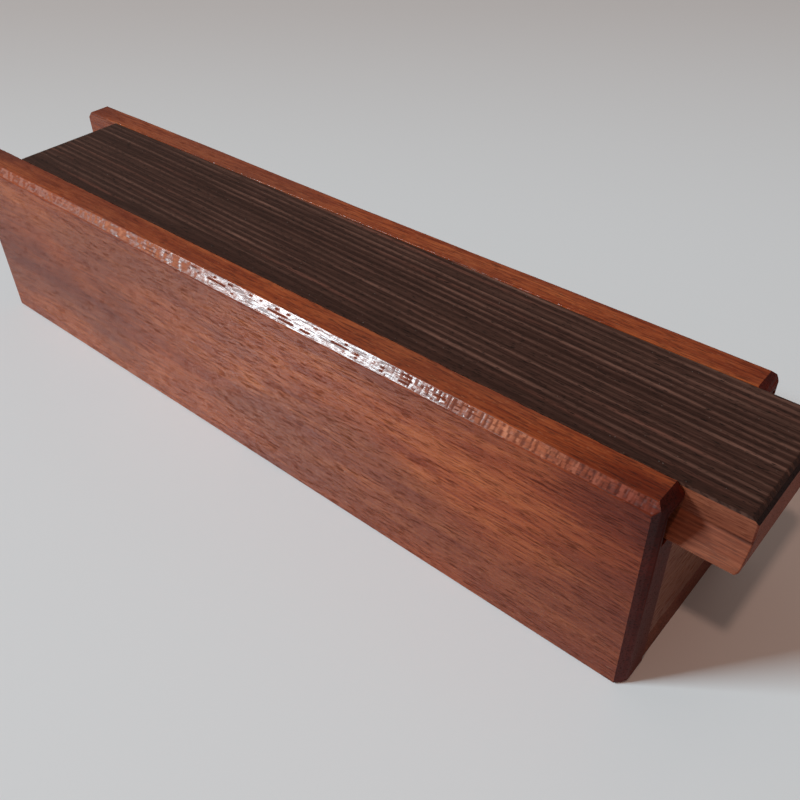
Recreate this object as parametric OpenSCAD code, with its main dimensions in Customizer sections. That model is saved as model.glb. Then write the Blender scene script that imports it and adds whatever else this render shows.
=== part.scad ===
// Puzzle box: a long wooden box whose lid slides between two walls.
// A bar inside slides when the box is tipped, and its peg holds the lid or lets it go.
// +X is the way the lid opens, +Z is up, and the origin is the centre of the underside.
// The lid is drawn at its first stop, a little way out of the box.

/* [Box] */
// Length of the two long walls
box_len = 217; // [170:1:300]
// Width over both walls
box_w = 48; // [42:1:80]
// Height of the walls
box_h = 50; // [44:1:80]
// Thickness of the long walls
wall_t = 8; // [7.5:0.5:10]
// Thickness of the base board
base_t = 7.5; // [7:0.5:10]
// Thickness of the two end panels
end_t = 8; // [7:0.5:10]
// How far the end panels sit inside the ends of the walls
end_inset = 0.4; // [0:0.1:2]

/* [Edges] */
// Chamfer along the outer top edge of each wall
long_chamfer = 1.9; // [0.5:0.1:3]
// Chamfer round the ends of each wall
end_chamfer = 1.8; // [0.5:0.1:3]
// Small bevel that takes the sharpness off the other edges
edge_ease = 0.5; // [0.2:0.1:0.8]

/* [Lid] */
// Thickness of the lid with its face veneer
lid_t = 10.5; // [9.5:0.5:14]
// Thickness of the face veneer
veneer_t = 0.8; // [0.5:0.1:1.2]
// How far the shut lid sits inside the ends of the walls
lid_end_inset = 0.5; // [0:0.1:2]
// Gap between the lid and each wall
lid_gap = 0.25; // [0.15:0.05:0.5]
// Gap under the lid, above the end panels
lid_lift = 0.4; // [0.2:0.1:1]
// Chamfer on the top edge of each lid end
lid_end_chamfer = 1.5; // [1.3:0.1:3]
// Chamfer on the upright corners of the lid
lid_corner = 0.3; // [0.2:0.1:1.5]
// How far the lid is drawn out at its first stop
lid_open = 13; // [8:0.5:16]

/* [Runners] */
// How far each runner stands out from the lid's side
runner_reach = 3.6; // [2.5:0.1:4.5]
// Height of each runner against the lid's side
runner_rise = 4.9; // [3:0.1:5.5]
// Height of each runner's outer edge
runner_edge = 0.4; // [0.3:0.1:1]
// Gap under each runner and at its end
runner_gap = 0.2; // [0.1:0.05:0.35]
// Room above each runner in its groove
groove_head = 2.4; // [0.5:0.1:2.6]
// Room beside each runner in its groove
groove_side = 2; // [0.3:0.1:2.2]
// Wood left between the closed end of the groove and the end of the wall
groove_stop = 14; // [10:0.5:20]

/* [Lock] */
// Distance from the lid's inner end to the peg at the first stop
peg_set = 9.5; // [9:0.5:14]
// Diameter of the peg
peg_d = 4; // [3:0.5:5]
// How far the peg stands into the lid
peg_reach = 5; // [3:0.5:6]
// Gap round the peg in its gate and its slot
peg_gap = 0.4; // [0.2:0.1:0.6]
// Travel of the bar between free and locked
bar_travel = 6; // [6:0.5:8]
// Width of the bar along the box
bar_w = 8; // [7:0.5:10]
// Height of the bar
bar_h = 6; // [5:0.5:8]
// Gap round the bar in its channel
bar_gap = 0.15; // [0.1:0.05:0.3]
// Rim of the lock cover on each side of the bar's channel
cover_rim = 5; // [4.6:0.1:5.2]
// Lip of the lock block beyond its cover
block_lip = 2; // [1:0.5:6]
// Thickness of the two brass plates
plate_t = 1.5; // [1.2:0.1:2]
// Rim of the gate plate beyond its two pockets
gate_rim = 4.5; // [4:0.1:6]
// Width of the gate plate
gate_w = 24; // [22:1:26]

/* [Screws] */
// Diameter of a screw's shank
screw_d = 2.2; // [1.6:0.1:2.5]
// Diameter of a screw's head
screw_head_d = 4; // [3.2:0.1:4.4]
// Length of a screw
screw_len = 8; // [6:0.5:8.5]
// Distance from the walls to the screws of the lock cover
cover_edge = 4; // [3:0.5:6]
// Distance from the gate plate's edge to its screws
gate_edge = 3.2; // [2.8:0.1:3.6]

/* [Dowels] */
// Diameter of the dowels
dowel_d = 5; // [4:0.5:5.5]
// Depth of a dowel in a wall or an end panel
dowel_near = 5; // [4:0.5:6]
// Depth of a dowel in the piece that it holds
dowel_far = 8; // [6:0.5:9]
// Distance of the end dowels from the edges of their panel
dowel_edge = 8; // [6:0.5:8.5]
// Distance of the block dowels from the middle of the box, clear of the tips of the end dowels
dowel_side = 4; // [3:0.5:9]
// Room left at the end of each dowel hole
dowel_room = 0.5; // [0.3:0.1:1]

/* [Base joint] */
// Depth of the base board's tongue in each wall
tongue_depth = 3; // [2:0.5:4]
// Thickness of the tongue
tongue_t = 3.5; // [2.5:0.5:4]
// Height of the tongue above the underside
tongue_low = 2; // [1.5:0.5:2.5]
// Length at each end where the tongue is left off
tongue_stop = 12; // [8:1:20]
// Gap at the tongue's edge and ends
tongue_gap = 0.1; // [0.05:0.05:0.3]

/* [Hidden] */
$fn = 48;
// Overshoot of a cut past the face that it opens
cut = 1;
// Gap round a screw or a dowel in its hole
hole_gap = 0.05;
// Width and depth of the slot in a screw's head
screw_slot = [0.7, 0.6];
// Length of a screw's point
screw_point = 2;

half_len = box_len / 2;
half_w = box_w / 2;
inner = half_w - wall_t;
panel_outer = half_len - end_inset;
panel_inner = panel_outer - end_t;

lid_len = box_len - 2 * lid_end_inset;
lid_side = inner - lid_gap;
lid_under = box_h - lid_t;
veneer_under = box_h - veneer_t;
lid_left = lid_open - lid_len / 2;
lid_right = lid_left + lid_len;
panel_top = lid_under - lid_lift;

runner_outer = lid_side + runner_reach;
runner_top = lid_under + runner_rise;
groove_floor = lid_under - runner_gap;
groove_h = runner_top + groove_head - groove_floor;
groove_back = runner_outer + groove_side;
groove_end = groove_stop - half_len;
runner_left = groove_end + groove_h / 2 + runner_gap + lid_open;

peg_x = lid_left + peg_set;
peg_free_y = bar_travel / 2;
slot_w = peg_d + 2 * peg_gap;
channel = bar_w / 2 + bar_gap;
cover_side = channel + cover_rim;
block_left = -panel_inner;
block_right = peg_x + cover_side + block_lip;
plate_under = panel_top - plate_t;
bar_len = 2 * inner - bar_travel - 2 * bar_gap;
bar_top = plate_under - bar_gap;
bar_floor = bar_top - bar_h;
gate_left = peg_x - slot_w / 2 - gate_rim;
gate_right = peg_x + lid_open + slot_w / 2 + gate_rim;
gate_depth = peg_reach + peg_gap;

dowel_x = panel_outer - end_t / 2;
dowel_levels = [base_t + dowel_edge, panel_top - dowel_edge];
block_dowel_z = (base_t + panel_top) / 2;

sapele = "#8a4a33";
sapele_light = "#7a4a38";
wenge = "#3f302c";
beech = "#c9a37a";
brass = "#b9934e";
steel = "#a8a8ac";

// Outline shapes

// A rectangle from one corner to the other with its own bevel on each corner,
// in the order low-left, low-right, high-right, high-left
module bevelled(low, high, bevel) {
  polygon([
    [low.x, low.y + bevel[0]],
    [low.x + bevel[0], low.y],
    [high.x - bevel[1], low.y],
    [high.x, low.y + bevel[1]],
    [high.x, high.y - bevel[2]],
    [high.x - bevel[2], high.y],
    [low.x + bevel[3], high.y],
    [low.x, high.y - bevel[3]]
  ]);
}

// Extrudes an outline drawn in Y and Z along the box, from x0 to x1
module along_x(x0, x1) {
  translate([x0, 0, 0])
    rotate([90, 0, 90])
      linear_extrude(x1 - x0) children();
}

// Extrudes an outline drawn in X and Z across the box, from y0 to y1
module along_y(y0, y1) {
  translate([0, y1, 0])
    rotate([90, 0, 0])
      linear_extrude(y1 - y0) children();
}

// Extrudes an outline drawn in X and Y upwards, from z0 to z1
module along_z(z0, z1) {
  translate([0, 0, z0])
    linear_extrude(z1 - z0) children();
}

// A block between two corners
module block(low, high) {
  translate(low) cube(high - low);
}

// A strip with round ends from x0 to x1, as a cutter of that height leaves it
module round_strip(x0, x1, y0, y1, z0, h) {
  block([x0 + h / 2, y0, z0], [x1 - h / 2, y1, z0 + h]);
  for (x = [x0 + h / 2, x1 - h / 2])
    translate([x, y1, z0 + h / 2])
      rotate([90, 0, 0])
        cylinder(h = y1 - y0, d = h);
}

// A slot of the peg's width with round ends between two points, from z0 to z1
module peg_slot(from, to, z0, z1) {
  low = [min(from.x, to.x), min(from.y, to.y)];
  high = [max(from.x, to.x), max(from.y, to.y)];
  side = slot_w / 2;
  wide = high.x - low.x > high.y - low.y ? [0, side] : [side, 0];
  block([low.x - wide.x, low.y - wide.y, z0], [high.x + wide.x, high.y + wide.y, z1]);
  for (p = [from, to])
    translate([p.x, p.y, z0])
      cylinder(h = z1 - z0, d = slot_w);
}

// Fastener shapes

// A countersunk wood screw, head up at the origin, with an extra gap all round
module screw_body(gap = 0) {
  cone = (screw_head_d - screw_d) / 2;
  rotate_extrude()
    polygon([
      [0, gap],
      [screw_head_d / 2 + gap, gap],
      [screw_head_d / 2 + gap, 0],
      [screw_d / 2 + gap, -cone],
      [screw_d / 2 + gap, screw_point - screw_len],
      [0, -screw_len - gap]
    ]);
}

module screw() {
  difference() {
    screw_body();
    block(
      [-screw_head_d, -screw_slot[0] / 2, -screw_slot[1]],
      [screw_head_d, screw_slot[0] / 2, cut]
    );
  }
}

// A dowel along X from the seam between two pieces, which is at the origin
module dowel() {
  translate([-dowel_near, 0, 0])
    rotate([0, 90, 0])
      cylinder(h = dowel_near + dowel_far, d = dowel_d);
}

module dowel_hole() {
  translate([-dowel_near - dowel_room, 0, 0])
    rotate([0, 90, 0])
      cylinder(h = dowel_near + dowel_far + 2 * dowel_room, d = dowel_d + 2 * hole_gap);
}

// Puts a part at each seam between one end panel and the two walls
module at_end_seams(side) {
  for (z = dowel_levels)
    for (turn = [90, -90])
      translate([side * dowel_x, turn > 0 ? -inner : inner, z])
        rotate([0, 0, turn])
          children();
}

// Puts a part at each seam between the left end panel and the lock block
module at_block_seams() {
  for (y = [-dowel_side, dowel_side])
    translate([block_left, y, block_dowel_z])
      children();
}

// Puts a part at each screw of the lock cover, on its top face
module at_cover_screws() {
  for (x = [-1, 1] * (channel + cover_rim / 2))
    for (y = [-1, 1] * (inner - cover_edge))
      translate([peg_x + x, y, panel_top])
        children();
}

// Puts a part at each screw of the gate plate, head down on its lower face
module at_gate_screws() {
  for (x = [gate_left + gate_edge, gate_right - gate_edge])
    for (y = [-1, 1] * (gate_w / 2 - gate_edge))
      translate([x, y, lid_under])
        rotate([180, 0, 0])
          children();
}

// Box

// The near wall, with its groove open at the pulling end
module wall() {
  difference() {
    intersection() {
      along_x(-half_len, half_len)
        bevelled([-half_w, 0], [-inner, box_h], [edge_ease, 0, 0, long_chamfer]);
      along_y(-half_w, -inner)
        bevelled([-half_len, 0], [half_len, box_h], [edge_ease, edge_ease, end_chamfer, end_chamfer]);
      along_z(0, box_h)
        bevelled([-half_len, -half_w], [half_len, -inner], [end_chamfer, end_chamfer, 0, 0]);
    }
    round_strip(groove_end, half_len + groove_h, -groove_back, -inner + cut, groove_floor, groove_h);
    block(
      [tongue_stop - half_len, -inner - tongue_depth - tongue_gap, tongue_low],
      [half_len - tongue_stop, -inner + cut, tongue_low + tongue_t]
    );
    for (side = [-1, 1])
      at_end_seams(side) dowel_hole();
  }
}

module near_wall() {
  color(sapele) wall();
}

module far_wall() {
  color(sapele) mirror([0, 1, 0]) wall();
}

module base_board() {
  tongue_end = half_len - tongue_stop - tongue_gap;
  color(sapele_light) {
    block([-panel_outer, -inner, 0], [panel_outer, inner, base_t]);
    block(
      [-tongue_end, -inner - tongue_depth, tongue_low],
      [tongue_end, inner + tongue_depth, tongue_low + tongue_t]
    );
  }
}

// The right end panel, with its outer top edge eased
module end_panel() {
  along_y(-inner, inner)
    bevelled([panel_inner, base_t], [panel_outer, panel_top], [0, 0, edge_ease, 0]);
}

module left_end_panel() {
  color(sapele_light)
    difference() {
      mirror([1, 0, 0]) end_panel();
      at_end_seams(-1) dowel_hole();
      at_block_seams() dowel_hole();
    }
}

module right_end_panel() {
  color(sapele_light)
    difference() {
      end_panel();
      at_end_seams(1) dowel_hole();
    }
}

module left_end_dowels() {
  color(beech) at_end_seams(-1) dowel();
}

module right_end_dowels() {
  color(beech) at_end_seams(1) dowel();
}

module block_dowels() {
  color(beech) at_block_seams() dowel();
}

// Lock

// The block behind the left end panel, with a channel across it for the bar and a recess for the cover
module lock_block() {
  color(sapele_light)
    difference() {
      block([block_left, -inner, base_t], [block_right, inner, panel_top]);
      block(
        [peg_x - channel, -inner - cut, bar_floor - bar_gap],
        [peg_x + channel, inner + cut, panel_top]
      );
      block(
        [peg_x - cover_side, -inner - cut, plate_under],
        [peg_x + cover_side, inner + cut, panel_top + cut]
      );
      at_block_seams() dowel_hole();
      at_cover_screws() screw_body(hole_gap);
    }
}

// The brass plate that keeps the bar in its channel
module lock_cover() {
  color(brass)
    difference() {
      block(
        [peg_x - cover_side, -inner + bar_gap, plate_under],
        [peg_x + cover_side, inner - bar_gap, panel_top]
      );
      peg_slot([peg_x, -peg_free_y], [peg_x, peg_free_y], plate_under - cut, panel_top + cut);
      at_cover_screws() screw_body(hole_gap);
    }
}

module cover_screws() {
  color(steel) at_cover_screws() screw();
}

// The sliding bar, at its free place against the far wall
module lock_bar() {
  color(brass)
    difference() {
      block(
        [peg_x - bar_w / 2, peg_free_y - bar_len / 2, bar_floor],
        [peg_x + bar_w / 2, peg_free_y + bar_len / 2, bar_top]
      );
      translate([peg_x, peg_free_y, bar_floor - cut])
        cylinder(h = bar_h + 2 * cut, d = peg_d);
    }
}

module lock_peg() {
  color(steel)
    translate([peg_x, peg_free_y, bar_floor])
      cylinder(h = lid_under + peg_reach - bar_floor, d = peg_d);
}

// Lid

// The lid's outline from above, with its upright corners bevelled
module lid_plan() {
  bevelled([lid_left, -lid_side], [lid_right, lid_side], [lid_corner, lid_corner, lid_corner, lid_corner]);
}

// The lid's outline from the side, with its ends chamfered above and eased below
module lid_profile() {
  bevelled(
    [lid_left, lid_under], [lid_right, box_h],
    [edge_ease, edge_ease, lid_end_chamfer, lid_end_chamfer]
  );
}

// The whole lid as one blank, before its veneer and core are told apart,
// with square corners where the runners lie against it
module lid_blank() {
  intersection() {
    union() {
      along_z(lid_under, box_h) lid_plan();
      block([runner_left, -lid_side, lid_under], [lid_right, lid_side, runner_top]);
    }
    along_y(-inner, inner) lid_profile();
  }
}

// The way of the peg: a lane out at the lid's inner end, with a pocket at each stop
module gate(z0, z1) {
  stops = [peg_x, peg_x + lid_open];
  peg_slot([lid_left - slot_w, peg_free_y], [stops[1], peg_free_y], z0, z1);
  for (x = stops)
    peg_slot([x, -peg_free_y], [x, peg_free_y], z0, z1);
}

// The far runner: a strip along the lid's lower edge whose upper face slopes down and outwards
module runner() {
  intersection() {
    along_x(runner_left, lid_right)
      polygon([
        [lid_side, lid_under],
        [runner_outer, lid_under],
        [runner_outer, lid_under + runner_edge],
        [lid_side, runner_top]
      ]);
    along_y(lid_side, runner_outer) lid_profile();
    along_z(lid_under, runner_top)
      bevelled([runner_left, lid_side], [lid_right, runner_outer], [0, 0, edge_ease, edge_ease]);
  }
}

module lid_core() {
  color(sapele)
    difference() {
      lid_blank();
      block([lid_left - cut, -inner, veneer_under], [lid_right + cut, inner, box_h + cut]);
      block([gate_left, -gate_w / 2, lid_under - cut], [gate_right, gate_w / 2, lid_under + plate_t]);
      gate(lid_under - cut, lid_under + gate_depth);
      at_gate_screws() screw_body(hole_gap);
    }
}

module lid_veneer() {
  color(wenge)
    intersection() {
      lid_blank();
      block([lid_left, -inner, veneer_under], [lid_right, inner, box_h]);
    }
}

module near_runner() {
  color(sapele) mirror([0, 1, 0]) runner();
}

module far_runner() {
  color(sapele) runner();
}

// The brass plate that takes the wear of the peg, let into the underside of the lid
module gate_plate() {
  color(brass)
    difference() {
      block([gate_left, -gate_w / 2, lid_under], [gate_right, gate_w / 2, lid_under + plate_t]);
      gate(lid_under - cut, lid_under + plate_t + cut);
      at_gate_screws() screw_body(hole_gap);
    }
}

module gate_screws() {
  color(steel) at_gate_screws() screw();
}

near_wall();
far_wall();
base_board();
left_end_panel();
right_end_panel();
left_end_dowels();
right_end_dowels();
block_dowels();
lock_block();
lock_cover();
cover_screws();
lock_bar();
lock_peg();
lid_core();
lid_veneer();
near_runner();
far_runner();
gate_plate();
gate_screws();
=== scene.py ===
import bmesh
import bpy
import math
import numpy as np
from mathutils import Matrix, Vector


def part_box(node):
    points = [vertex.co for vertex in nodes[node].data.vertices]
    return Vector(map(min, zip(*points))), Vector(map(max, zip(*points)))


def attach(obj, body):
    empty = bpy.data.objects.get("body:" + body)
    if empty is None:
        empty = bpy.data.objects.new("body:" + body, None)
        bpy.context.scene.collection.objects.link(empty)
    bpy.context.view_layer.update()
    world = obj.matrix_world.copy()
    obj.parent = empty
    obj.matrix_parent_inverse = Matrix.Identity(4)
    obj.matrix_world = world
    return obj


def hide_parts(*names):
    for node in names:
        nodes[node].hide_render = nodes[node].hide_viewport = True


# Wooden puzzle box with a sliding lid: the looks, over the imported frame.
# Lengths in the pieces' dictionaries are millimetres; meshes are in metres.

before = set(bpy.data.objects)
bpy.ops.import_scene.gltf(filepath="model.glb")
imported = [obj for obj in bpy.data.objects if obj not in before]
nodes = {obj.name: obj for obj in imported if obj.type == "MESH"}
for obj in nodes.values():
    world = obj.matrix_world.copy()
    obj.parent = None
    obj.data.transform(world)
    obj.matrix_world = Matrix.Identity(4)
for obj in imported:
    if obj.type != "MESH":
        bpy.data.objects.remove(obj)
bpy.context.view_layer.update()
mm = 0.001
sharpAngle = 32   # faces that meet at more degrees than this keep a sharp edge
tolerance = 1e-6  # places nearer than this are the same
print("frame loaded:", len(nodes), "nodes")


# Shared helpers

def linear(hexText):  # sRGB hex to linear colour
    channels = np.array([int(hexText[i:i + 2], 16) for i in (1, 3, 5)]) / 255
    curved = np.where(channels <= 0.04045, channels / 12.92, ((channels + 0.055) / 1.055) ** 2.4)
    return (*curved.tolist(), 1.0)


def addNode(tree, kind, settings, sockets):  # one node, with its settings, its values and its links
    new = tree.nodes.new("ShaderNode" + kind)
    for name, value in settings.items():
        setattr(new, name, value)
    for key, value in sockets.items():
        if isinstance(value, bpy.types.NodeSocket):
            tree.links.new(value, new.inputs[key])
        else:
            new.inputs[key].default_value = value
    return new


def newMaterial(name):  # an empty material with its surface shader
    material = bpy.data.materials.new(name)
    material.use_nodes = True
    tree = material.node_tree
    tree.nodes.clear()
    shader = addNode(tree, "BsdfPrincipled", {}, {})
    addNode(tree, "OutputMaterial", {}, {"Surface": shader.outputs[0]})
    return material, tree, shader


def nodeBox(name):  # a node's lowest and highest corners, in millimetres
    return [np.array(corner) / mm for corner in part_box(name)]


def smoothNoise(points, spacing, seed):  # wavy curve: random values every "spacing", joined by smooth steps
    count, first = 4096, 1000  # values before the curve repeats, and the one that lies at the origin
    values = np.random.default_rng(seed).uniform(-1, 1, count)
    place = points / spacing + first
    cell = np.floor(place).astype(int)
    part = place - cell
    ease = part * part * (3 - 2 * part)
    return values[cell % count] * (1 - ease) + values[(cell + 1) % count] * ease


def meshPiece(name, points, faces, material, body, flatFaces=()):  # a mesh from points in millimetres
    mesh = bpy.data.meshes.new(name)
    mesh.from_pydata((points * mm).tolist(), [], faces)
    piece = bpy.data.objects.new(name, mesh)
    bpy.context.scene.collection.objects.link(piece)
    smooth = np.ones(len(mesh.polygons), bool)
    smooth[list(flatFaces)] = False
    mesh.polygons.foreach_set("use_smooth", smooth)
    mesh.set_sharp_from_angle(angle=math.radians(sharpAngle))
    mesh.materials.append(material)
    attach(piece, body)
    return piece


def mergeDoubles(piece):  # joins points that lie on each other and turns every face outwards
    samePlace, shortEdge = 0.002 * mm, 0.001 * mm
    work = bmesh.new()
    work.from_mesh(piece.data)
    bmesh.ops.remove_doubles(work, verts=work.verts, dist=samePlace)
    bmesh.ops.dissolve_degenerate(work, edges=work.edges, dist=shortEdge)
    bmesh.ops.recalc_face_normals(work, faces=work.faces)
    work.to_mesh(piece.data)
    work.free()


def gridFaces(rows, columns, closed):  # quads between neighbouring rows of a grid, row after row
    across = columns if closed else columns - 1
    row, column = np.meshgrid(np.arange(rows - 1), np.arange(across), indexing="ij")
    nextColumn = (column + 1) % columns
    return np.stack([
        row * columns + column,
        (row + 1) * columns + column,
        (row + 1) * columns + nextColumn,
        row * columns + nextColumn,
    ], axis=-1)


def softCorner(corner, before, after, reach):
    # A corner rounded by a quadratic curve: it leaves the line "before" and joins the line "after",
    # both at "reach" from the corner, with a guard point just outside each so that flat faces stay flat.
    guard, curvePoints = 0.3, 5  # the guards' distance, as a share of "reach", and the points on the curve
    before, after = np.array(before), np.array(after)
    reach = reach[:, None]
    start, end = corner - before * reach, corner + after * reach
    steps = np.linspace(0, 1, curvePoints)
    curve = [(1 - s) ** 2 * start + 2 * s * (1 - s) * corner + s ** 2 * end for s in steps]
    return [start - before * reach * guard, *curve, end + after * reach * guard]


# Materials

def sapele(name, look):
    # Sapele, planed and oiled: red-brown wood whose interlocked grain gives broad bands and blotches of
    # lighter and darker red, with very fine streaks, short dark open pores, pale flecks and a satin sheen.
    material, tree, shader = newMaterial(name)
    place = addNode(tree, "TexCoord", {}, {})
    grain = addNode(tree, "Mapping", {}, {
        "Vector": place.outputs["Object"], "Scale": (1000, 1000, 1000),
        "Rotation": [math.radians(a) for a in look["turn"]], "Location": look["shift"],
    })
    # Slow bends of the grain, about 1 mm over 60 mm
    slow = addNode(tree, "VectorMath", {"operation": "MULTIPLY"}, {
        0: grain.outputs[0], 1: look["bendScale"],
    })
    bendNoise = addNode(tree, "TexNoise", {}, {"Vector": slow.outputs[0], "Scale": 1.0, "Detail": 1.0})
    bend = addNode(tree, "VectorMath", {"operation": "MULTIPLY_ADD"}, {
        0: bendNoise.outputs["Color"], 1: look["bendReach"], 2: grain.outputs[0],
    })
    # Each layer of figure: features per millimetre along and across the grain, detail, and its grey range
    layers = {}
    for layer, (along, across, detail, low, high) in {
        "clouds": (0.014, 0.045, 1.0, 0.40, 0.66),     # clouds of darker wood, 20 mm by 70 mm
        "bands": (0.006, 0.17, 2.0, 0.34, 0.66),       # bands of interlocked grain, about 6 mm wide
        "blotches": (0.09, 0.30, 3.0, 0.36, 0.66),     # ripples and blotches, about 3 mm by 11 mm
        "fibres": (0.05, 2.0, 4.0, 0.36, 0.64),        # streaks of fibre, from 0.5 mm down
        # Pores, 0.3 mm by 3.6 mm: real ones are half as wide, which is too fine to show
        "pores": (0.28, 3.1, 2.0, *look["poreRange"]),
        "flecks": (0.9, 4.6, 0.0, *look["fleckRange"]),  # pale flecks, about 0.2 mm wide and 1 mm long
    }.items():
        scaled = addNode(tree, "VectorMath", {"operation": "MULTIPLY"}, {
            0: bend.outputs[0], 1: (along, across, across),
        })
        noise = addNode(tree, "TexNoise", {}, {
            "Vector": scaled.outputs[0], "Scale": 1.0, "Detail": detail, "Roughness": 0.65,
        })
        layers[layer] = addNode(tree, "MapRange", {"interpolation_type": "SMOOTHSTEP"}, {
            "Value": noise.outputs[0], "From Min": low, "From Max": high,
        }).outputs[0]
    # The wood is closer-grained towards the left end, so its pores are fainter there
    objectAxes = addNode(tree, "SeparateXYZ", {}, {0: place.outputs["Object"]})
    faintest, fullest, least = look["poresFade"]
    openness = addNode(tree, "MapRange", {}, {
        "Value": objectAxes.outputs["X"],
        "From Min": faintest * mm, "From Max": fullest * mm, "To Min": least,
    })
    layers["pores"] = addNode(tree, "Math", {"operation": "MULTIPLY"}, {
        0: layers["pores"], 1: openness.outputs[0],
    }).outputs[0]
    # The tones are laid over each other, each as deep as its look says
    tone = addNode(tree, "Mix", {"data_type": "RGBA"}, {
        0: layers["fibres"], 6: linear(look["dark"]), 7: linear(look["light"]),
    }).outputs[2]
    for layer in ("bands", "blotches", "clouds", "flecks", "pores"):
        part = addNode(tree, "Math", {"operation": "MULTIPLY"}, {0: layers[layer], 1: look[layer + "Depth"]})
        tone = addNode(tree, "Mix", {"data_type": "RGBA", "blend_type": look[layer + "Blend"]}, {
            0: part.outputs[0], 6: tone, 7: linear(look[layer]),
        }).outputs[2]
    # The walls mark torn grain, which is paler and less shiny, and dark pits. On the chamfer the paleness
    # also paints glints of light on the facets, and the pits also paint shade in the valleys between the
    # bars.
    torn = addNode(tree, "Attribute", {"attribute_name": "torn"}, {})
    pitsAndShade = addNode(tree, "Attribute", {"attribute_name": "pitsAndShade"}, {})
    for kind, mark in {"torn": torn, "pitsAndShade": pitsAndShade}.items():
        part = addNode(tree, "Math", {"operation": "MULTIPLY"}, {
            0: mark.outputs["Fac"], 1: look[kind + "Depth"],
        })
        tone = addNode(tree, "Mix", {"data_type": "RGBA"}, {
            0: part.outputs[0], 6: tone, 7: linear(look[kind]),
        }).outputs[2]
    # Stains and painted shade: soft darker ellipsoids, each with its middle and its reach in millimetres. On
    # the near wall's face they are painted shade; on the walls' tops they darken the ends, and on the lid one
    # is a dark joint.
    for middle, reach, depth in look["stainsAndShade"]:
        near = addNode(tree, "VectorMath", {"operation": "SUBTRACT"}, {
            0: place.outputs["Object"], 1: [value * mm for value in middle],
        })
        shrunk = addNode(tree, "VectorMath", {"operation": "DIVIDE"}, {
            0: near.outputs[0], 1: [value * mm for value in reach],
        })
        far = addNode(tree, "VectorMath", {"operation": "LENGTH"}, {0: shrunk.outputs[0]})
        part = addNode(tree, "MapRange", {"interpolation_type": "SMOOTHERSTEP"}, {
            "Value": far.outputs["Value"], "From Min": 1.0, "From Max": 0.0, "To Max": depth,
        })
        tone = addNode(tree, "Mix", {"data_type": "RGBA", "blend_type": "MULTIPLY"}, {
            0: part.outputs[0], 6: tone, 7: linear(look["stainAndShadeTint"]),
        }).outputs[2]
    # End grain soaks up the oil and is matt; one tint is for upright ends, another for cuts that face up
    facing = addNode(tree, "VectorMath", {"operation": "DOT_PRODUCT"}, {
        0: place.outputs["Normal"], 1: look["along"],
    })
    facingSize = addNode(tree, "Math", {"operation": "ABSOLUTE"}, {0: facing.outputs["Value"]})
    cutPart = addNode(tree, "MapRange", {"interpolation_type": "SMOOTHSTEP"}, {
        "Value": facingSize.outputs[0], "From Min": 0.3, "From Max": 0.7,
    })
    upward = addNode(tree, "VectorMath", {"operation": "DOT_PRODUCT"}, {
        0: place.outputs["Normal"], 1: (0, 0, 1),
    })
    endPart = addNode(tree, "MapRange", {"interpolation_type": "SMOOTHSTEP"}, {
        "Value": upward.outputs["Value"], "From Min": 0.6, "From Max": 0.3,
    })
    endTone = addNode(tree, "Mix", {"data_type": "RGBA"}, {
        0: endPart.outputs[0], 6: linear(look["cutTint"]), 7: linear(look["endTint"]),
    })
    ended = addNode(tree, "Mix", {"data_type": "RGBA", "blend_type": "MULTIPLY"}, {
        0: cutPart.outputs[0], 6: tone, 7: endTone.outputs[2],
    })
    # Pores are rough. On the planed chamfer oil fills them and the wood is smoother; torn grain is rough.
    axes = addNode(tree, "SeparateXYZ", {}, {0: place.outputs["Normal"]})
    sloping = addNode(tree, "Math", {"operation": "MULTIPLY"}, {0: axes.outputs["Y"], 1: axes.outputs["Z"]})
    slope = addNode(tree, "Math", {"operation": "ABSOLUTE"}, {0: sloping.outputs[0]})
    openPart = addNode(tree, "MapRange", {}, {
        "Value": slope.outputs[0], "From Max": look["chamferSlope"],
        "To Min": 1.0, "To Max": look["chamferPores"],
    })
    openPores = addNode(tree, "Math", {"operation": "MULTIPLY"}, {0: layers["pores"], 1: openPart.outputs[0]})
    planed = addNode(tree, "MapRange", {}, {
        "Value": slope.outputs[0], "From Max": look["chamferSlope"],
        "To Min": look["roughness"], "To Max": look["roughness"] - look["chamferSmoother"],
    })
    rough = addNode(tree, "MapRange", {}, {
        "Value": openPores.outputs[0], "To Min": planed.outputs[0], "To Max": look["poreRoughness"],
    })
    matt = addNode(tree, "Math", {"operation": "MULTIPLY"}, {0: cutPart.outputs[0], 1: look["endRoughness"]})
    ragged = addNode(tree, "Math", {"operation": "MULTIPLY", "use_clamp": True}, {
        0: torn.outputs["Fac"], 1: look["tornRoughness"],
    })
    fuzzy = addNode(tree, "Math", {"operation": "MAXIMUM"}, {0: ragged.outputs[0], 1: pitsAndShade.outputs["Fac"]})
    worst = addNode(tree, "Math", {"operation": "MAXIMUM"}, {0: matt.outputs[0], 1: fuzzy.outputs[0]})
    surface = addNode(tree, "Math", {"operation": "MAXIMUM"}, {0: rough.outputs[0], 1: worst.outputs[0]})
    height = addNode(tree, "Math", {"operation": "MULTIPLY_ADD"}, {
        0: layers["pores"], 1: -look["poreSink"], 2: layers["fibres"],
    })
    bump = addNode(tree, "Bump", {}, {
        "Height": height.outputs[0], "Strength": 0.5, "Distance": look["relief"] * mm,
    })
    tree.links.new(ended.outputs[2], shader.inputs["Base Color"])
    tree.links.new(surface.outputs[0], shader.inputs["Roughness"])
    tree.links.new(bump.outputs[0], shader.inputs["Normal"])
    shader.inputs["IOR"].default_value = look["ior"]
    return material


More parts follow.
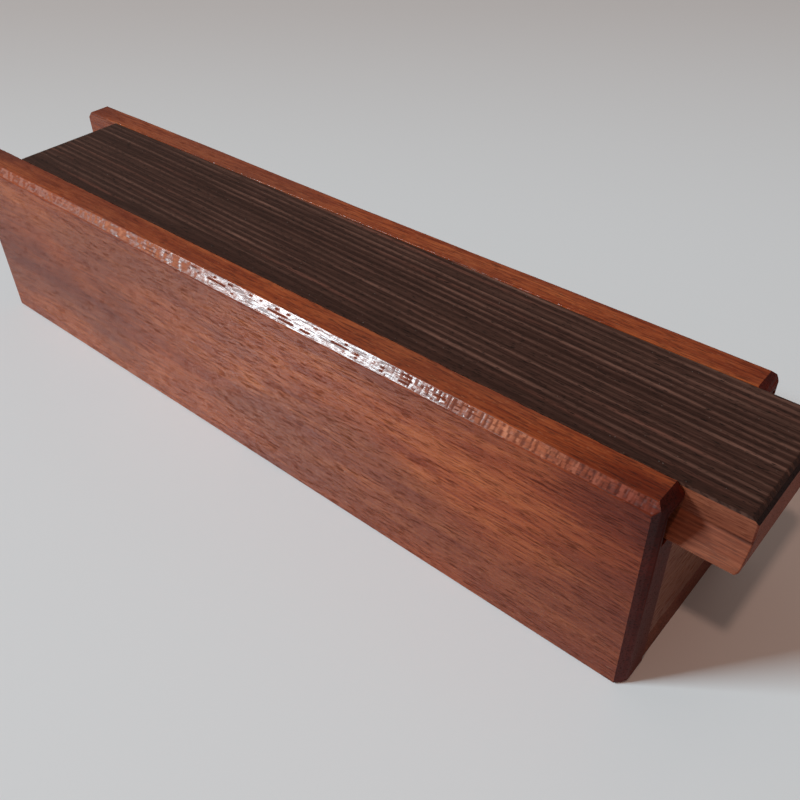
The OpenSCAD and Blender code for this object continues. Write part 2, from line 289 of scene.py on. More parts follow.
def wengeVeneer(name, look):
    # Wenge veneer, quarter-sawn and oiled: near-black brown with even paler growth stripes, open and matt.
    # The stripes come from the piece's own "stripe" and "red" attributes, so relief and colour agree, and
    # "edge" marks its sides, where pale torn fibre and glue show.
    material, tree, shader = newMaterial(name)
    stripe = addNode(tree, "Attribute", {"attribute_name": "stripe"}, {})
    red = addNode(tree, "Attribute", {"attribute_name": "red"}, {})
    edge = addNode(tree, "Attribute", {"attribute_name": "edge"}, {})
    place = addNode(tree, "TexCoord", {}, {})
    # Each layer of figure: features per metre along and across the grain, detail, and its grey range
    layers = {}
    for layer, (along, across, detail, low, high) in {
        "fibres": (130, 3600, 4.0, 0.30, 0.70),  # fibres, about 0.3 mm wide and 8 mm long
        "pores": (600, 5200, 1.0, 0.58, 0.72),   # short open pores between them, 0.2 mm by 1.7 mm
        "torn": (900, 1400, 3.0, 0.36, 0.60),    # tufts of torn fibre on the sides, about 1 mm
        # Painted glints: a few pale specks
        "paintedGlintSpecks": (2600, 2600, 0.0, 0.84, 0.88),   # a few pale specks, under 0.4 mm
    }.items():
        scaled = addNode(tree, "VectorMath", {"operation": "MULTIPLY"}, {
            0: place.outputs["Object"], 1: (along, across, across),
        })
        noise = addNode(tree, "TexNoise", {}, {"Vector": scaled.outputs[0], "Scale": 1.0, "Detail": detail})
        layers[layer] = addNode(tree, "MapRange", {"interpolation_type": "SMOOTHSTEP"}, {
            "Value": noise.outputs[0], "From Min": low, "From Max": high,
        }).outputs[0]
    ground = addNode(tree, "Mix", {"data_type": "RGBA"}, {
        0: stripe.outputs["Fac"], 6: linear(look["dark"]), 7: linear(look["pale"]),
    })
    redder = addNode(tree, "Mix", {"data_type": "RGBA"}, {
        0: red.outputs["Fac"], 6: ground.outputs[2], 7: linear(look["red"]),
    })
    darkest, palest = look["fibreShade"]
    shade = addNode(tree, "MapRange", {}, {"Value": layers["fibres"], "To Min": darkest, "To Max": palest})
    fibred = addNode(tree, "VectorMath", {"operation": "SCALE"}, {
        0: redder.outputs[2], "Scale": shade.outputs[0],
    })
    tone = fibred.outputs[0]
    tornEdge = addNode(tree, "Math", {"operation": "MULTIPLY"}, {0: layers["torn"], 1: edge.outputs["Fac"]})
    for part, colour in (
        (layers["pores"], look["pore"]), (layers["paintedGlintSpecks"], look["paintedGlintSpecks"]), (tornEdge.outputs[0], look["torn"]),
    ):
        tone = addNode(tree, "Mix", {"data_type": "RGBA"}, {0: part, 6: tone, 7: linear(colour)}).outputs[2]
    bump = addNode(tree, "Bump", {}, {
        "Height": layers["fibres"], "Strength": 0.4, "Distance": look["relief"] * mm,
    })
    tree.links.new(tone, shader.inputs["Base Color"])
    tree.links.new(bump.outputs[0], shader.inputs["Normal"])
    shader.inputs["Roughness"].default_value = look["roughness"]
    shader.inputs["IOR"].default_value = look["ior"]
    return material


def grainyMaterial(name, look):
    # A plain material with one noise for its colour, shine and relief: the scale is features per metre
    material, tree, shader = newMaterial(name)
    place = addNode(tree, "TexCoord", {}, {})
    scaled = addNode(tree, "VectorMath", {"operation": "MULTIPLY"}, {
        0: place.outputs["Object"], 1: look["scale"],
    })
    noise = addNode(tree, "TexNoise", {}, {"Vector": scaled.outputs[0], "Scale": 1.0, "Detail": 3.0})
    tone = addNode(tree, "Mix", {"data_type": "RGBA"}, {
        0: noise.outputs[0], 6: linear(look["dark"]), 7: linear(look["light"]),
    })
    rough = addNode(tree, "MapRange", {}, {
        "Value": noise.outputs[0], "To Min": look["shine"][0], "To Max": look["shine"][1],
    })
    bump = addNode(tree, "Bump", {}, {
        "Height": noise.outputs[0], "Strength": 0.3, "Distance": look["relief"] * mm,
    })
    tree.links.new(tone.outputs[2], shader.inputs["Base Color"])
    tree.links.new(rough.outputs[0], shader.inputs["Roughness"])
    tree.links.new(bump.outputs[0], shader.inputs["Normal"])
    shader.inputs["Metallic"].default_value = look["metal"]
    return material


jointHeight = nodeBox("near_runner")[1][2]  # where the runner meets the lid's core
# Each layer of figure has its colour, its depth and the way it is blended in. The grain bends by "bendReach"
# millimetres, with "bendScale" features per millimetre. "poresFade" gives where along the box the pores are
# faintest, where they are full, and how strong they are at their faintest. "chamferSlope" is the product of
# the normal's Y and Z from which a face counts fully as chamfer: it is 0.5 at 45 degrees. A stain or patch
# of painted shade is its middle and its reach in millimetres, and its depth.
wallLook = {
    "turn": (0, 0.8, 0), "shift": (0, 0, 0), "along": (1, 0, 0),
    "bendScale": (0.016, 0.05, 0.05), "bendReach": (0, 2.2, 2.2),
    "dark": "#974624", "light": "#ba6537",
    "bands": "#d2a898", "bandsDepth": 0.6, "bandsBlend": "MULTIPLY",
    "blotches": "#c79c8a", "blotchesDepth": 0.45, "blotchesBlend": "MULTIPLY",
    "clouds": "#69362a", "cloudsDepth": 0.5, "cloudsBlend": "MIX",
    "flecks": "#c48a66", "flecksDepth": 0.25, "flecksBlend": "MIX", "fleckRange": (0.68, 0.84),
    "pores": "#3a170e", "poresDepth": 0.58, "poresBlend": "MIX", "poreRange": (0.50, 0.64),
    "poresFade": (-100, 30, 0.6), "poreRoughness": 0.9, "poreSink": 1.2, "relief": 0.012,
    "cutTint": "#b2776a", "endTint": "#b8786c", "roughness": 0.25, "endRoughness": 0.6, "ior": 1.3,
    "chamferSlope": 0.45, "chamferPores": 0.2, "chamferSmoother": 0.05,
    # Pale torn grain, whose paleness also paints glints on the chamfer, and dark pits, which also paint shade
    # in the valleys between its bars
    "torn": "#de9474", "tornDepth": 0.8, "tornRoughness": 3.0, "pitsAndShade": "#4e1c10", "pitsAndShadeDepth": 0.75,
    # Painted shade on the near face (y -24): across its left half, at its right end and at its upper right
    # corner. The others darken the walls' tops towards their ends.
    "stainAndShadeTint": "#a8808a", "stainsAndShade": [
        ((-70, -24, 24), (90, 30, 11), 0.6), ((125, -24, 36), (65, 30, 60), 0.85),
        ((-120, -17, 50), (150, 7, 14), 0.65), ((115, 20, 50), (70, 12, 14), 0.4),
        ((108, -24, 48), (36, 10, 16), 0.8), ((-115, -24, 25), (75, 14, 60), 0.3),
        ((-108, 20, 50), (45, 10, 14), 0.7),
    ],
}
panelLook = {
    **wallLook, "stainsAndShade": [], "turn": (0, 0, 90), "shift": (40, 15, 0), "along": (0, 1, 0),
    "cutTint": "#c08a80", "endTint": "#c48c80", "dark": "#774129", "light": "#966046",
    "poresDepth": 0.25, "blotchesDepth": 0.25, "roughness": 0.42,
}
boardLook = {
    **wallLook, "stainsAndShade": [], "shift": (0, 60, 30), "cutTint": "#e0b0a6", "endTint": "#f4d2c8",
    "dark": "#6b3822", "light": "#935a3e", "roughness": 0.42,
}
# The lid's one stain is the dark joint between its core and the runner
lidLook = {
    **wallLook, "shift": (0, 25, 70), "turn": (0, 0.3, 0.4), "cutTint": "#4a2c2c", "endTint": "#ffe2d2",
    "dark": "#713822", "light": "#8e4f36", "bandsDepth": 0.3, "blotchesDepth": 0.3, "cloudsDepth": 0.1,
    "flecksDepth": 0.1, "poresDepth": 0.4, "roughness": 0.45,
    "stainAndShadeTint": "#6a3a2c", "stainsAndShade": [((119.5, -16, jointHeight), (10, 6, 0.42), 0.75)],
}
veneerLook = {
    # The pale specks' colour paints tiny glints
    "dark": "#36201a", "pale": "#745246", "red": "#70463a", "pore": "#1a0f0c", "paintedGlintSpecks": "#786c66",
    "torn": "#583a30", "fibreShade": (0.72, 1.22), "relief": 0.04, "roughness": 0.5, "ior": 1.22,
}
# Beech, turned by the dowel maker: pale pinkish wood with tiny dark flecks, 0.5 mm long
beechLook = {
    "scale": (1800, 1800, 1800), "dark": "#a9825c", "light": "#d8b48a", "shine": (0.55, 0.7), "metal": 0.0,
    "relief": 0.02,
}
# Brass sheet, sawn and draw-filed: warm yellow metal with scratches 0.2 mm apart along the file's stroke
brassLook = {
    "scale": (90, 5200, 5200), "dark": "#a98245", "light": "#d9b56c", "shine": (0.25, 0.5), "metal": 1.0,
    "relief": 0.02,
}
# Steel, turned and left bright: grey metal with faint rings 0.2 mm apart and a soft shine
steelLook = {
    "scale": (300, 300, 6000), "dark": "#8e9093", "light": "#c3c4c6", "shine": (0.22, 0.45), "metal": 1.0,
    "relief": 0.02,
}
materials = {
    "wall": sapele("sapele_planed_and_oiled", wallLook),
    "lid": sapele("sapele_lid_planed_and_oiled", lidLook),
    "endPanel": sapele("sapele_cross_panel_planed", panelLook),
    "board": sapele("sapele_board_planed", boardLook),
    "wenge": wengeVeneer("wenge_veneer_sawn_and_oiled", veneerLook),
    "beech": grainyMaterial("beech_turned_dowel", beechLook),
    "brass": grainyMaterial("brass_sheet_filed", brassLook),
    "steel": grainyMaterial("steel_turned_bright", steelLook),
}
print("materials:", len(materials))


# Long walls

wallSizes = {
    # The board
    "section": 0.2,              # spacing of the sections along the wall
    "evenFrom": 2.2,             # where the even sections begin, from each end
    # Sections nearer the end, by their distance from it
    "endSections": (0, 0.03, 0.08, 0.15, 0.25, 0.6, 0.9, 1.0, 1.3, 1.6, 1.7, 1.8, 1.9, 2.0),
    "bowSections": 12,           # sections round the closed end of the groove
    "longChamfer": 1.9,          # planed chamfer on the outer top edge
    "endChamfer": 1.8,           # chamfer round each end
    "ease": 0.5,                 # small bevel along the bottom
    "soft": 0.22,                # reach of the rounding on each arris
    "footShare": 0.6,            # share of that reach along the bottom
    "softMost": 0.2,             # most of the long chamfer's width that its roundings reach
    "innerSoft": 0.1,            # reach of the rounding on the inner top arris
    "wornArris": 0.3,            # how much more that arris is worn in places
    "wornSpacings": (6.0, 1.1),  # lengths over which the wear comes and goes
    "grooveStop": 14.0,          # wood left at the closed end of the groove
    "grooveGap": 0.2,            # gap under the runner
    "grooveHead": 2.4,           # room above the runner
    "grooveSide": 2.0,           # room beside the runner
    # Borders of the long chamfer
    "edgeWander": 0.05,          # how far they wander
    "wanderSpacing": 9.0,        # length over which they wander
    "middleWider": 0.45,         # how much wider the chamfer is at its widest
    "middlePlace": 10,           # where that is along the wall
    "middleReach": 45,           # how far to each side it reaches
    # Strips of facets that the plane left along the chamfer
    "strips": 4,
    "stripMargin": 0.12,         # gap before each strip, in strips; twice as much follows the last
    "stripPoints": (0.0, 0.2, 0.34, 0.6, 0.88),  # points across a strip, as shares of its width
    "sink": 0.06,                # how far the strips lie below the true chamfer
    "calmWidth": 1.2,            # width of chamfer below which the marks grow fainter
    "facets": 400,               # facets in a strip, more than fill its length
    "facetLength": (0.5, 1.7),   # shortest and longest facet
    "facetHeight": 0.009,        # spread of the heights where facets meet
    # Slits of torn grain between the strips
    "slitDepth": 0.04,
    "slitShare": 0.3,            # share of a strip's width that a slit takes up
    "slitSpacing": 1.7,          # length over which slits open and close
    "slitSharpness": 4,          # how fast a slit opens
    "slitRarity": 1.5,           # the higher, the fewer slits
    # Crosswise bars, up and down by turns, and painted shade in the valleys between them
    "bars": 600,                 # bars in a row, more than fill its length
    "barsFrom": -150,            # where the row begins
    "barLength": (0.25, 0.9),    # shortest and longest bar
    "barHeight": 0.06,           # greatest height of a bar
    "barRise": (0.1, 1.0),       # least and greatest share of that height
    "barsGrow": (35, 70),        # where the bars begin to grow and where they are full
    "barsLeast": 0.03,           # what there is of them before that
    "barShares": (0.6, 0.4),     # share of the bars that cross all strips, and of a strip's own
    "valleyTone": 0.75,          # how dark a valley gets
    "valleySharpness": 8,        # how fast it gets dark
    "valleyRarity": 0.9,         # the higher, the fewer valleys
    # Pale torn grain, whose paleness also paints glints of light on the facets: on the bars, and as
    # slanting ripples
    "paleLeast": 0.22,           # paleness of every bar
    "paleMore": (0.7, 0.5),      # what the bars that cross all strips add, and a strip's own
    "paleContrast": 3,           # the higher, the fewer bars are pale
    "rippleTone": 0.25,          # middle paleness of the ripples
    "rippleSwing": 0.3,          # how far it goes up and down
    "rippleLeast": 0.1,          # least paleness of the ripples
    "rippleSpacings": (1.1, 0.9),  # of the ripples that cross all strips, and of a strip's own
    "rippleSlant": 0.5,          # how far a ripple moves along from strip to strip
    # Places along the wall, and how strong the marks are there
    "facetZones": ((-90, -50, -25, 0, 30, 60), (0.4, 1.8, 3.0, 1.0, 1.0, 2.0)),
    "slitZones": ((-50, -15, 65, 90), (0, 1, 1, 0.2)),
    "paleZones": ((62, 82, 108), (0, 1, 0.8)),
    "rippleZones": ((-100, -60, -40, -20, 0), (0.3, 0.5, 1, 0.7, 0)),
}


def facetLine(x, seed):
    # The line of one edge of a strip of facets: random heights at random borders, joined by straight lines
    size = wallSizes
    random = np.random.default_rng(seed)
    lengths = random.uniform(*size["facetLength"], size["facets"])
    borders = np.cumsum(lengths) - lengths.sum() / 2
    heights = random.normal(0, size["facetHeight"], size["facets"])
    heights = heights * np.interp(borders, *size["facetZones"])
    return np.interp(x, borders, heights)


def crossBars(x, seed):
    # Crosswise bars: heights that go up and down by turns at uneven borders, growing towards the right,
    # and a tone from 0 to 1 for each bar
    size = wallSizes
    count = size["bars"]
    random = np.random.default_rng(seed)
    borders = np.cumsum(random.uniform(*size["barLength"], count)) + size["barsFrom"]
    heights = random.uniform(*size["barRise"], count) * np.where(np.arange(count) % 2, 1, -1)
    tones = random.uniform(0, 1, count)[np.searchsorted(borders, x) % count]
    begin, full = size["barsGrow"]
    grown = np.clip((x - begin) / (full - begin), size["barsLeast"], 1)
    return size["barHeight"] * np.interp(x, borders, heights) * grown, tones


def tornGrainAndGlints(x, row, seed, sharedTone, ownTone):
    # How pale the torn grain of one strip is, a paleness that also paints glints of light on the facets:
    # the paler of its bars and its ripples. A bar's paleness is a power of its tones, and the ripples are two
    # wavy curves, of which one slants across all the strips.
    size = wallSizes
    sharedMore, ownMore = size["paleMore"]
    contrast = size["paleContrast"]
    bars = size["paleLeast"] + sharedMore * sharedTone ** contrast + ownMore * ownTone ** contrast
    sharedSpacing, ownSpacing = size["rippleSpacings"]
    sharedWave = smoothNoise(x + size["rippleSlant"] * row, sharedSpacing, seed + 70)
    ownWave = smoothNoise(x, ownSpacing, seed + 80 + row)
    ripples = size["rippleTone"] + size["rippleSwing"] * sharedWave + size["rippleSwing"] * ownWave
    ripples = np.clip(ripples, size["rippleLeast"], 1)
    return np.maximum(np.interp(x, *size["paleZones"]) * bars, np.interp(x, *size["rippleZones"]) * ripples)


def planedStrips(x, width, seed):
    # The marks of the plane, strip after strip up the chamfer: for each point across it, its share of the
    # way, its height along X over the true chamfer, how pale the torn grain is there, which also paints
    # glints, and how dark its pits are, with painted shade in the valleys.
    # A strip's height runs straight from its lower edge to its upper one, and drops in a slit.
    size = wallSizes
    rows, margin = size["strips"], size["stripMargin"]
    sharedPart, ownPart = size["barShares"]
    calm = np.minimum(1, width / size["calmWidth"])
    shared, sharedTone = crossBars(x, seed + 19)
    shares, heights, torn, pitsAndShade = [], [], [], []
    for row in range(rows):
        own, ownTone = crossBars(x, seed + 60 + row)
        bars = sharedPart * shared + ownPart * own
        lowEdge, highEdge = (bars + facetLine(x, seed + 20 + row + rows * edge) for edge in (0, 1))
        opening = size["slitSharpness"] * smoothNoise(x, size["slitSpacing"], seed + 40 + row)
        gap = np.clip(opening - size["slitRarity"], 0, 1) * np.interp(x, *size["slitZones"])
        # Painted shade in the valleys between the bars
        sinking = -size["valleySharpness"] * bars / size["barHeight"]
        valleyShade = size["valleyTone"] * np.clip(sinking - size["valleyRarity"], 0, 1)
        pale = tornGrainAndGlints(x, row, seed, sharedTone, ownTone)
        for part in size["stripPoints"]:
            slit = gap if part < size["slitShare"] else 0 * gap
            shares.append((row + margin + part * (1 - margin)) / (rows + 2 * margin))
            height = lowEdge + (highEdge - lowEdge) * part - size["slitDepth"] * slit - size["sink"]
            heights.append(calm * height)
            torn.append(pale)
            pitsAndShade.append(np.maximum(slit, valleyShade))
    return shares, heights, torn, pitsAndShade


def longWall(name, side, seed):
    # A profile in Y and Z carried along X. Near an end the outer face and the top step in with the end
    # chamfer. The groove is four of the profile's points, whose height follows a half circle at its closed
    # end. Each random curve has a seed of its own, counted from the wall's.
    size = wallSizes
    low, high = nodeBox(name)
    runnerLow, runnerHigh = nodeBox("far_runner")
    halfLength, top = high[0], high[2]
    inner, outer = np.sort(np.abs([low[1], high[1]]))
    grooveFloor, grooveTop = runnerLow[2] - size["grooveGap"], runnerHigh[2] + size["grooveHead"]
    grooveMiddle, grooveRadius = (grooveTop + grooveFloor) / 2, (grooveTop - grooveFloor) / 2
    grooveBack = runnerHigh[1] + size["grooveSide"]
    grooveEnd = size["grooveStop"] - halfLength
    ends = halfLength - np.array(size["endSections"])
    bow = grooveEnd + grooveRadius * (1 - np.cos(np.linspace(0, np.pi / 2, size["bowSections"])))
    even = halfLength - size["evenFrom"]
    x = np.arange(-even, even + size["section"] / 2, size["section"])
    x = np.unique(np.concatenate([x, ends, -ends, bow]))
    inset = halfLength - np.abs(x)

    def column(y, z):  # one point of the profile, in every section
        return np.stack([y + 0 * x, z + 0 * x], axis=1)

    # The end chamfer, with its border on the end face rounded
    lip = np.maximum(0, size["soft"] - inset)
    cut = np.maximum(0, size["endChamfer"] - inset)
    cut = cut + size["soft"] - np.sqrt(np.maximum(0, size["soft"] ** 2 - lip ** 2))
    face, crown = outer - cut, top - cut
    foot = np.maximum(0, size["ease"] - inset)
    # The long chamfer's borders, which wander, and lie further apart about the middle
    broad = size["middleWider"] * np.exp(-((x - size["middlePlace"]) / size["middleReach"]) ** 2)
    lowerWander, upperWander = (
        size["edgeWander"] * (1 + smoothNoise(x, size["wanderSpacing"], s)) + broad for s in (seed, seed + 3)
    )
    lower = np.minimum(crown, top - size["longChamfer"] - lowerWander + cut)
    upper = np.minimum(face, outer - size["longChamfer"] - upperWander + cut)
    width = np.hypot(upper - face, crown - lower)
    # Reaches of the roundings
    footSoft = np.full_like(x, size["soft"] * size["footShare"])
    edgeSoft = np.minimum(size["soft"], size["softMost"] * width)
    slowWear, fastWear = (smoothNoise(x, size["wornSpacings"][i], seed + 6 + i) for i in (0, 1))
    innerSoft = size["innerSoft"] + size["wornArris"] * np.maximum(0, 0.5 * slowWear + 0.5 * fastWear)
    # The profile, from the inner bottom edge round the outside
    diagonal = np.sqrt(0.5)
    profile = [column(inner, foot)]
    profile += softCorner(column(face - size["ease"], foot), (1, 0), (diagonal, diagonal), footSoft)
    profile += softCorner(column(face, foot + size["ease"]), (diagonal, diagonal), (0, 1), footSoft)
    profile += softCorner(column(face, lower), (0, 1), (-diagonal, diagonal), edgeSoft)
    firstFacet = len(profile) - 1
    shares, heights, torn, pitsAndShade = planedStrips(x, width, seed)
    for share, height in zip(shares, heights):
        profile.append(column(
            face + (upper - face) * share + diagonal * height,
            lower + (crown - lower) * share + diagonal * height,
        ))
    lastFacet = len(profile)
    profile += softCorner(column(upper, crown), (-diagonal, diagonal), (-1, 0), edgeSoft)
    profile += softCorner(column(inner, crown), (-1, 0), (0, -1), innerSoft)
    # The groove
    fromEnd = np.clip(x - grooveEnd, 0, grooveRadius)
    half = np.sqrt(np.maximum(0, grooveRadius ** 2 - (grooveRadius - fromEnd) ** 2))
    back = np.where(x < grooveEnd - tolerance, inner, grooveBack)
    firstGroove = len(profile)
    for y, z in ((inner, half), (back, half), (back, -half), (inner, -half)):
        profile.append(column(y, grooveMiddle + z))
    # Faces between the sections, left out where the groove has not begun, and a cap on each end
    outline = np.stack(profile, axis=1)
    sections, columns = outline.shape[:2]
    points = np.concatenate([np.repeat(x[:, None, None], columns, 1), outline], axis=2)
    points[:, :, 1] *= side
    quads = gridFaces(sections, columns, True)
    keep = np.ones(quads.shape[:2], bool)
    keep[x[1:] < grooveEnd + tolerance, firstGroove:firstGroove + 3] = False
    facets = np.zeros_like(keep)
    facets[:, firstFacet:lastFacet] = True
    flat = np.flatnonzero(facets[keep])
    quads = quads[keep]
    firstCap = np.arange(columns)
    caps = [firstCap.tolist(), (firstCap + (sections - 1) * columns).tolist()]
    flat = np.concatenate([flat, [len(quads), len(quads) + 1]])
    wallPiece = meshPiece(
        name + "_planed", points.reshape(-1, 3), quads.tolist() + caps,
        materials["wall"], "box", flat,
    )
    # Pale torn grain that also paints glints, and dark pits that also paint shade in the valleys
    for mark, values in {"torn": torn, "pitsAndShade": pitsAndShade}.items():
        grid = np.zeros((sections, columns), np.float32)
        grid[:, firstFacet + 1:lastFacet] = np.stack(values, axis=1)
        wallPiece.data.attributes.new(mark, "FLOAT", "POINT").data.foreach_set("value", grid.ravel())
    mergeDoubles(wallPiece)
    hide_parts(name)


longWall("near_wall", -1, 11)
longWall("far_wall", 1, 153)
print("long walls made")


# Lid veneer

veneerSizes = {
    "along": 1.0,                # grid spacing along the lid
    "across": 0.12,              # grid spacing across it
    "lastCell": 0.3,             # least length of the grid's last cell
    "sideInset": 0.12,           # from the grid's border to the sheet's sides
    "arris": 0.1,                # bevel round the top
    "relief": 0.09,              # how far the soft stripes stand below the hard ones
    "footStripe": 0.4,           # what is left of the stripes at the sheet's lower edge
    "tornSides": (0.6, 1.0),     # torn fibre on the sides, at the top arris and at the lower edge
    # Growth stripes
    "pitch": 1.885,              # spacing of the stripes
    "phase": 2.0,                # place of one stripe at the middle of the box
    "drift": -0.032,             # how far they run across the lid, per millimetre along it
    "sway": (0.35, 60.0),        # how far they sway, and over what length
    "waver": (0.10, 17.0, 2),    # a smaller sway, its length and its slant
    "narrowness": 1.8,           # the higher, the narrower the pale stripes
    "strength": (0.62, 0.38, 16.0),  # middle and swing of a stripe's strength, and the length of a swing
    "leftFade": ((-110, 20), (0.5, 1)),  # places along the lid, and the strength there
    "fine": (0.16, 0.3),         # strength and spacing of the fine lines
    "plainEdge": (-14.5, 5.0, 0.15),  # near strip: where stripes set in, over what width, and their least
    # From stripe to stripe
    "noiseStep": (71, 53),       # steps along the noise, for the strength and for the red
    "ownStrength": (0.8, 0.3, 2.4, 1.0),  # middle, swing, turn and start of a sine
    "ownRed": (0.35, 1.9, 0.4),  # least sine that is red, turn and start
    "redLength": 30.0,           # length over which the red comes and goes
    "redGain": 1.6,
    "redMost": 0.9,
}


def veneerStripes(xGrid, yGrid):
    # Even growth stripes: a raised cosine across the grain, whose phase drifts and wanders a little along it.
    # Every stripe has its own strength, which comes and goes; a few stripes carry red sapwood colour, and
    # the strip along the near edge is nearly plain.
    size = veneerSizes
    sway, swayLength = size["sway"]
    waver, waverLength, slant = size["waver"]
    wander = sway * smoothNoise(xGrid, swayLength, 90)
    wander = wander + waver * smoothNoise(xGrid + slant * yGrid, waverLength, 91)
    phase = (yGrid - size["phase"] - size["drift"] * xGrid + wander) / size["pitch"]
    number = np.round(phase)
    wave = (0.5 + 0.5 * np.cos(2 * np.pi * phase)) ** size["narrowness"]
    strengthStep, redStep = size["noiseStep"]
    middle, swing, swingLength = size["strength"]
    fade = middle + swing * smoothNoise(xGrid + strengthStep * number, swingLength, 92)
    fade = fade * np.interp(xGrid, *size["leftFade"])
    ownMiddle, ownSwing, ownTurn, ownStart = size["ownStrength"]
    own = ownMiddle + ownSwing * np.sin(number * ownTurn + ownStart)
    fineStrength, fineSpacing = size["fine"]
    fine = fineStrength * smoothNoise(yGrid + wander - size["drift"] * xGrid, fineSpacing, 93)
    redLeast, redTurn, redStart = size["ownRed"]
    redStripe = np.maximum(0, np.sin(number * redTurn + redStart) - redLeast)
    redPart = redStripe * np.maximum(0, smoothNoise(xGrid + redStep * number, size["redLength"], 94))
    plainFrom, plainWidth, plainLeast = size["plainEdge"]
    plain = np.clip((yGrid - plainFrom) / plainWidth, plainLeast, 1)
    stripe = np.clip(plain * (wave * fade * own + fine), 0, 1)
    red = np.clip(size["redGain"] * wave * redPart, 0, size["redMost"])
    return stripe, red


def lidVeneer():
    # A grid over the lid's plan whose height follows the stripes, with a skirt of two rings round it:
    # the top arris, then the sheet's lower edge, which lies further out along the chamfered ends.
    size = veneerSizes
    low, high = nodeBox("lid_veneer")
    drop = high[2] - low[2]
    inset = size["sideInset"]
    x = np.arange(low[0] + drop, high[0] - drop - size["lastCell"], size["along"])
    x = np.append(x, high[0] - drop)
    y = np.linspace(low[1] + inset, high[1] - inset, int((high[1] - low[1]) / size["across"]))
    xGrid, yGrid = np.meshgrid(x, y, indexing="ij")
    stripe, red = veneerStripes(xGrid, yGrid)
    zGrid = high[2] - size["relief"] * (1 - stripe)
    rows, columns = xGrid.shape
    top = np.stack([xGrid, yGrid, zGrid], axis=2).reshape(-1, 3)
    around = np.concatenate([
        np.arange(rows) * columns,
        (rows - 1) * columns + np.arange(1, columns),
        np.arange(rows - 2, -1, -1) * columns + columns - 1,
        np.arange(columns - 2, 0, -1),
    ])
    ring = top[around]
    atEnd = [ring[:, 0] < x[0] + tolerance, ring[:, 0] > x[-1] - tolerance]
    atSide = [ring[:, 1] < y[0] + tolerance, ring[:, 1] > y[-1] - tolerance]

    def skirtRing(end, height):  # the border ring moved out to the sides, and to "end" from the lid's ends
        return np.stack([
            np.select(atEnd, [low[0] + end, high[0] - end], ring[:, 0]),
            np.select(atSide, [low[1], high[1]], ring[:, 1]),
            np.full(len(ring), height),
        ], axis=1)

    edge = skirtRing(drop - size["arris"], high[2] - size["arris"])
    foot = skirtRing(0, low[2])
    points = np.concatenate([top, edge, foot])
    count = len(around)
    first, second = len(top), len(top) + count
    here, there = np.arange(count), np.roll(np.arange(count), -1)
    skirtTop = np.stack([around[here], first + here, first + there, around[there]], axis=1)
    skirtSide = np.stack([first + here, second + here, second + there, first + there], axis=1)
    faces = np.concatenate([gridFaces(rows, columns, False).reshape(-1, 4), skirtTop, skirtSide]).tolist()
    faces.append((second + here).tolist())
    piece = meshPiece("lid_veneer_sawn", points, faces, materials["wenge"], "lid", [len(faces) - 1])
    onSide = (atSide[0] | atSide[1]) & ~(atEnd[0] | atEnd[1])
    tornTop, tornFoot = size["tornSides"]
    for name, values in {
        "stripe": (stripe.ravel(), stripe.ravel()[around], stripe.ravel()[around] * size["footStripe"]),
        "red": (red.ravel(), red.ravel()[around], red.ravel()[around]),
        "edge": (np.zeros(first), onSide * tornTop, onSide * tornFoot),
    }.items():
        attribute = piece.data.attributes.new(name, "FLOAT", "POINT")
        attribute.data.foreach_set("value", np.concatenate(values).astype(np.float32))
    mergeDoubles(piece)
    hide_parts("lid_veneer")


lidVeneer()
print("lid veneer made")


# Boards that keep their solids' shapes, with softened arrises

softening = {
    "lid": 0.15,    # reach of the softened arrises on the lid's pieces
    "box": 0.2,     # reach on the box's boards
    "segments": 2,
    "angle": 40,    # an arris is softened where its faces meet at more degrees than this
}


def softenedBoard(node, material, body):  # a copy of the solid with its arrises bevelled
    piece = bpy.data.objects.new(node + "_softened", nodes[node].data.copy())
    bpy.context.scene.collection.objects.link(piece)
    piece.data.materials.clear()
    piece.data.materials.append(materials[material])
    mergeDoubles(piece)
    bevel = piece.modifiers.new("softened arrises", "BEVEL")
    bevel.width = softening[body] * mm
    bevel.segments = softening["segments"]
    bevel.limit_method = "ANGLE"
    bevel.angle_limit = math.radians(softening["angle"])
    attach(piece, body)
    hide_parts(node)


for node, material, body, slot in (
    ("lid_core", "lid", "lid", "sapele"),
    ("near_runner", "lid", "lid", "sapele"),
    ("far_runner", "lid", "lid", "sapele"),
    ("left_end_panel", "endPanel", "box", "sapele_panel"),
    ("right_end_panel", "endPanel", "box", "sapele_panel"),
    ("base_board", "board", "box", "sapele_panel"),
    ("lock_block", "board", "box", "sapele_panel"),
):
    softenedBoard(node, material, body)
print("boards made")


# Hardware keeps its solids and gets its finish

for node, material in {
    "left_end_dowels": "beech", "right_end_dowels": "beech", "block_dowels": "beech",
    "lock_cover": "brass", "lock_bar": "brass", "gate_plate": "brass",
    "lock_peg": "steel", "cover_screws": "steel", "gate_screws": "steel",
}.items():
    nodes[node].data.materials.clear()
    nodes[node].data.materials.append(materials[material])
print("hardware finished")


# Table, light and camera

# The table's and the lights' lengths are metres. The table turns from its near colour to a darker, pinker
# one beyond, painted shade and painted reflection, between two distances from the middle of the box,
# measured the way that "away" points.
table = {
    "near": "#e3e5e7", "beyond": "#cdc6c4", "roughness": 0.3, "size": 12.0,
    "away": (-0.66, 0.75, 0), "turns": (0.05, 0.45),
}
windowLight = {
    "towards": (-0.589, -0.586, 0.556), "far": 6.0, "wide": 1.5, "tall": 0.36, "power": 370.0,
    "colour": (0.745, 0.93, 1.0),
}
lampLight = {
    "towards": (0.12, -0.46, 0.88), "far": 2.0, "wide": 0.1, "tall": 0.1, "power": 6.0,
    "colour": (1.0, 0.6, 0.45),
}
# The room's light grows from the horizon's to that above between two heights of the view's direction
room = {
    "colour": "#cdb3a6", "above": 0.32, "horizon": 0.15, "heights": (0.02, 0.35), "backdrop": "#92867e",
}


